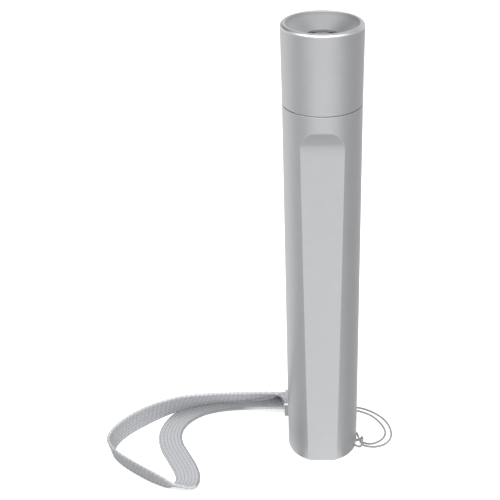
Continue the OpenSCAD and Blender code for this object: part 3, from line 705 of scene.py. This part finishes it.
# %% Geometry tree helpers
class Growth(Tree):
    """A Geometry Nodes tree with named number inputs."""

    def __init__(self, name, sizes):
        self.group = bpy.data.node_groups.new(name, "GeometryNodeTree")
        sockets = self.group.interface
        for way in ("INPUT", "OUTPUT"):
            sockets.new_socket("Geometry", in_out=way, socket_type="NodeSocketGeometry")
        self.sizes = sizes
        self.ids = {key: sockets.new_socket(
            key, in_out="INPUT", socket_type="NodeSocketFloat").identifier
            for key in sizes}
        super().__init__(self.group.nodes, self.group.links)
        self.entry = self.nodes.new("NodeGroupInput")
        self.exit = self.nodes.new("NodeGroupOutput")

    def size(self, key):
        return Wire(self, self.entry.outputs[key])

    def finish(self, geometry, material):
        whole = self.node("GeometryNodeRealizeInstances", None, {0: geometry})
        coated = self.node("GeometryNodeSetMaterial", None,
                           {"Geometry": whole, "Material": material})
        self.feed(self.exit.inputs[0], coated)

    def grow(self, name, base, material):
        """Runs the tree on base and returns the result as a plain mesh object."""
        carrier = new_object(name + "_seed", base)
        modifier = carrier.modifiers.new("grow", "NODES")
        modifier.node_group = self.group
        for key, value in self.sizes.items():
            modifier[self.ids[key]] = value
        bpy.context.view_layer.update()
        graph = bpy.context.evaluated_depsgraph_get()
        mesh = bpy.data.meshes.new_from_object(carrier.evaluated_get(graph))
        bpy.data.objects.remove(carrier)
        mesh.materials.clear()
        mesh.materials.append(material)
        mesh.shade_smooth()
        print(name, len(mesh.polygons), "faces")
        return new_object(name, mesh)


print("geometry helpers ready")

# %% [markdown]
# ## Springs
# A spring is one wire, wound on a rule: the angle grows evenly, the radius goes from
# one size to another, and the height rises everywhere but at the ends, where a quarter
# turn lies flat. So the tree takes a plain line of points, moves each by that rule and
# sweeps a small circle along it. The tail spring is pressed in when the cells are
# pushed down.

# %% Grow the two springs
TURN_STEPS = 32        # points of the wire for each turn
WIRE_SIDES = 10


def spring(name, heights, radii, wire, turns):
    """A spring between two heights, whose radius goes from radii[0] to radii[1]."""
    sizes = {"Low": heights[0] * MM, "High": heights[1] * MM,
             "Radius low": radii[0] * MM, "Radius high": radii[1] * MM,
             "Wire": wire * MM, "Turns": turns}
    tree = Growth(name + "_rule", sizes)
    low, high, radius_low, radius_high, thick, winds = map(tree.size, sizes)
    line = tree.node("GeometryNodeCurvePrimitiveLine", None, {1: (0.0, 0.0, 1.0)})
    line = tree.node("GeometryNodeResampleCurve", None,
                     {"Curve": line, "Count": int(turns * TURN_STEPS) + 1})
    share = tree.node("GeometryNodeSplineParameter")
    quarter = 0.25 / winds
    rise = (share - quarter) / (1 - quarter * 2)
    rise = rise.math("MAXIMUM", 0.0).math("MINIMUM", 1.0)
    angle = share * winds * (2 * math.pi)
    radius = radius_low + (radius_high - radius_low) * share
    height = low + thick * 0.5 + (high - low - thick) * rise
    spot = tree.node("ShaderNodeCombineXYZ", None, {
        0: radius * angle.math("COSINE"), 1: radius * angle.math("SINE"), 2: height})
    wound = tree.node("GeometryNodeSetPosition", None,
                      {"Geometry": line, "Position": spot})
    ring = tree.node("GeometryNodeCurvePrimitiveCircle", None,
                     {"Resolution": WIRE_SIDES, "Radius": thick * 0.5})
    swept = tree.node("GeometryNodeCurveToMesh", None,
                      {"Curve": wound, "Profile Curve": ring, "Fill Caps": True})
    tree.finish(swept, finishes["spring_steel"])
    return tree.grow(name, bpy.data.meshes.new(name + "_base"),
                     finishes["spring_steel"])


def height_range(node):
    """A node's lowest and highest point, in millimetres."""
    low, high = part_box(node)
    return low[2] / MM, high[2] / MM


low, high = height_range("tail_spring")
tail_coil = spring("tail_coil", (low, high), radii=(7.5, 4.0), wire=0.9, turns=5.0)
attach(tail_coil, "barrel")
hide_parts("tail_spring")
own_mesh(tail_coil)

low, high = height_range("front_spring")
front_coil = spring("front_coil", (low, high), radii=(2.0, 3.5), wire=0.5, turns=4.0)
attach(front_coil, "light_engine")
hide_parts("front_spring")

# %% [markdown]
# ## Weft turns along the webbing's edges
# Where the weft comes out at an edge and goes back in, it makes a small loop
# round it. Those loops are the dotted line of light along the upper edge. A
# tree puts a little over half a ring of yarn at each point of a point cloud,
# turned by the two directions that the points carry.

# %% Grow the weft turns
LOOP_PITCH = 2 * PICK
LOOP_YARN = 0.26       # mm thick
LOOP_REACH = 0.37      # mm, the radius of a loop
LOOP_INSET = 0.54      # mm from the edge to a loop's middle
LOOP_SWEEP = 210       # degrees
LOOP_POINTS, YARN_SIDES = 8, 6

stations = np.arange(LOOP_PITCH, strap_along[-1] - LOOP_PITCH, LOOP_PITCH)
spots, out_axis, run_axis = [], [], []
for edge_side, shift in ((1, 0.0), (-1, LOOP_PITCH / 2)):
    for station in stations + shift:
        i = int(np.argmin(np.abs(strap_along - station)))
        outward = edge_side * width[i]
        middle = strap_line[i, :3] + outward * (STRAP_WIDTH / 2 - LOOP_INSET)
        spots.append(middle * MM)
        out_axis.append(outward)
        run_axis.append(travel[i])
points = bpy.data.meshes.new("weft_points")
points.from_pydata([tuple(q) for q in spots], [], [])
for key, rows in (("outward", out_axis), ("along", run_axis)):
    layer = points.attributes.new(key, "FLOAT_VECTOR", "POINT")
    layer.data.foreach_set("vector", np.array(rows, dtype=np.float32).ravel())

tree = Growth("weft_turns_rule", {"Reach": LOOP_REACH * MM, "Yarn": LOOP_YARN * MM})
arc = tree.node("GeometryNodeCurveArc", None, {
    "Resolution": LOOP_POINTS, "Radius": tree.size("Reach"),
    "Start Angle": math.radians(-LOOP_SWEEP / 2),
    "Sweep Angle": math.radians(LOOP_SWEEP)})
ring = tree.node("GeometryNodeCurvePrimitiveCircle", None,
                 {"Resolution": YARN_SIDES, "Radius": tree.size("Yarn") * 0.5})
loop = tree.node("GeometryNodeCurveToMesh", None,
                 {"Curve": arc, "Profile Curve": ring, "Fill Caps": True})
outward, along_axis = [
    tree.node("GeometryNodeInputNamedAttribute", {"data_type": "FLOAT_VECTOR"},
              {"Name": key}) for key in ("outward", "along")]
turned = tree.node("FunctionNodeAxesToRotation",
                   {"primary_axis": "X", "secondary_axis": "Z"},
                   {0: outward, 1: along_axis})
placed = tree.node("GeometryNodeInstanceOnPoints", None, {
    "Points": tree.size("Geometry"), "Instance": loop, "Rotation": turned})
tree.finish(placed, finishes["webbing"])
weft_turns = tree.grow("weft_turns", points, finishes["webbing"])
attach(weft_turns, "barrel")

# %% [markdown]
# ## What the webbing and the cord are
# Both are limp and of a fixed length, which is measured along the route.
# Both ends of each go back into the clamp, so the far end is the object. The
# weft turns belong to the webbing.

print("webbing and cord ready")

# %% [markdown]
# ## The floor
# The photo is cut out on pure white, so the floor is white to the camera and
# keeps only a faint shadow. Metal shows what stands round it, and as the
# camera looks down, the round body mirrors the floor. A white floor would
# make the body look flat, so glossy rays see another one, with a bright
# front, a pale back and grey sides, painted by the angle from the front. A
# spot near the body lies at a wider angle than the far floor that the
# photo's studio had, so the angle is widened there. The floor just left of
# the body is a little darker, as the tail's left side is in the photo.

# %% Floor
FLOOR_HALF, FLOOR_DROP = 2.0, 2e-5      # metres
FLOOR_TO_CAMERA, FLOOR_TO_CLOTH = 0.62, 0.30
WIDENING = 0.0075                       # metres, half the body's radius
LEFT_FROM, LEFT_REACH = (0.012, 0.024), (0.030, 0.055)    # steps in metres


def ray_kinds(tree, *kinds):
    """For each kind of ray, 1 when the ray is of that kind and 0 when not."""
    return tree.outputs("ShaderNodeLightPath", [f"Is {kind} Ray" for kind in kinds])


def surround(angle):
    """How bright the studio is at an angle from the front, in radians.

    The lamp stands 5 degrees to the right of the front.
    """
    front = angle.math("COSINE")
    right = angle.math("SINE")
    lamp = (front * 0.996 + right * 0.087).above(0.38, 1.0) * 0.45
    backdrop = (-front - right * 0.45).above(0.12, 1.05) * 0.43
    return lamp + backdrop + 0.455 - right * 0.01


floor_mesh = bpy.data.meshes.new("floor")
floor_mesh.from_pydata([(side * FLOOR_HALF, back * FLOOR_HALF, -FLOOR_DROP)
                        for side, back in ((-1, -1), (1, -1), (1, 1), (-1, 1))],
                       [], [(0, 1, 2, 3)])
floor = new_object("floor", floor_mesh)
paper = bpy.data.materials.new("paper")
paper.use_nodes = True
tree = Tree(paper.node_tree.nodes, paper.node_tree.links)
tree.nodes.clear()
x, y, _ = tree.parts(tree.node("ShaderNodeTexCoord", out="Object"))
shows, glossy = ray_kinds(tree, "Camera", "Glossy")
reach = (x * x + y * y) ** 0.5 + 0.00001
angle = x.math("ARCTAN2", -y)
widened = (WIDENING / reach).math("MINIMUM", 0.5)
widened = widened * angle.math("ABSOLUTE").above(0.35, 0.8)
left_shade = (-x).above(*LEFT_FROM) * (1 - reach.above(*LEFT_REACH)) * 0.25
metal_sees = surround(angle / (1 - widened)) * (1 - left_shade)
seen = (shows * FLOOR_TO_CAMERA + glossy * metal_sees
        + (1 - shows - glossy) * FLOOR_TO_CLOTH)
glow = tree.node("ShaderNodeEmission", None, {"Strength": seen})
matt = tree.node("ShaderNodeBsdfDiffuse", None, {"Color": (0.8, 0.8, 0.8, 1.0)})
nothing = tree.node("ShaderNodeEmission", None, {"Strength": 0.0})
matt = tree.node("ShaderNodeMixShader", None, {0: glossy, 1: matt, 2: nothing})
surface = tree.node("ShaderNodeAddShader", None, {0: glow, 1: matt})
tree.feed(tree.nodes.new("ShaderNodeOutputMaterial").inputs["Surface"], surface)
floor.data.materials.append(paper)
print("floor", 2 * FLOOR_HALF, "m wide")

# %% [markdown]
# ## The sky
# The world is white to the camera too. The rim and the bowl look up and
# mirror the sky: glossy rays see a bright patch high in front, a horizon
# that is paler at the back and far out on both sides, and two darker
# stretches, on the left at the back and higher up on the right, which give
# the bowl its shading. The cloth takes its light from a plain sky that is
# brighter above and to the right.

# %% World
SKY_TO_CAMERA = 1.25
CEILING = 0.72         # how bright the metal sees the sky straight above
OVERHEAD = 3.5         # how much brighter the patch in front is

world = bpy.data.worlds.new("studio")
bpy.context.scene.world = world
world.use_nodes = True
tree = Tree(world.node_tree.nodes, world.node_tree.links)
tree.nodes.clear()
x, y, z = tree.parts(tree.node("ShaderNodeTexCoord", out="Generated"))
shows, glossy, bent = ray_kinds(tree, "Camera", "Glossy", "Transmission")
around = (0.50 + y.above(0.2, 0.8) * 0.32 + (-x).above(0.6, 0.95) * 0.25
          + x.above(0.6, 0.95) * 0.1)
left_side = (-x).above(0.15, 0.55) * z.above(0.0, 0.35) * y.above(0.1, 0.45)
right_side = x.above(0.15, 0.65) * z.above(0.3, 0.6)
shaded = 1 - left_side * 0.75 - right_side * 0.35
overhead = (-y).above(0.0, 0.45) * z.between((0.35, 0.5), (0.8, 0.92))
metal_sees = around + (CEILING - around) * z.above(0.20, 0.60) + overhead * OVERHEAD
metal_sees = metal_sees * shaded
cloth_sees = z.above(0.05, 0.9) * 0.80 + x * 0.22 - y * 0.08 + 0.33
others = (1 - shows - glossy - bent).math("MAXIMUM", 0.0)
strength = (shows * SKY_TO_CAMERA + (glossy + bent) * metal_sees
            + others * cloth_sees.math("MAXIMUM", 0.0))
sky = tree.node("ShaderNodeBackground", None, {"Strength": strength})
tree.feed(tree.nodes.new("ShaderNodeOutputWorld").inputs["Surface"], sky)
print("world", len(tree.nodes), "nodes")

# %% [markdown]
# ## The lamps
# Two soft lamps light the webbing and the cord from above and from the
# front. They are hidden from glossy rays, because the bowl would gather them
# into a hot spot.

# %% Lamps
for name, place, size, watts in (("top", (-0.15, 0.05, 0.95), (0.6, 0.5), 2.8),
                                 ("key", (0.05, -0.50, 0.80), (0.5, 0.4), 3.0)):
    lamp = bpy.data.lights.new(name, "AREA")
    lamp.shape = "RECTANGLE"
    lamp.size, lamp.size_y = size
    lamp.energy = watts
    box = new_object(name, lamp)
    box.location = place
    box.rotation_euler = (-Vector(place)).to_track_quat("-Z", "Y").to_euler()
    box.visible_glossy = False
bpy.context.scene.view_settings.view_transform = "Standard"
print("lamps ready")
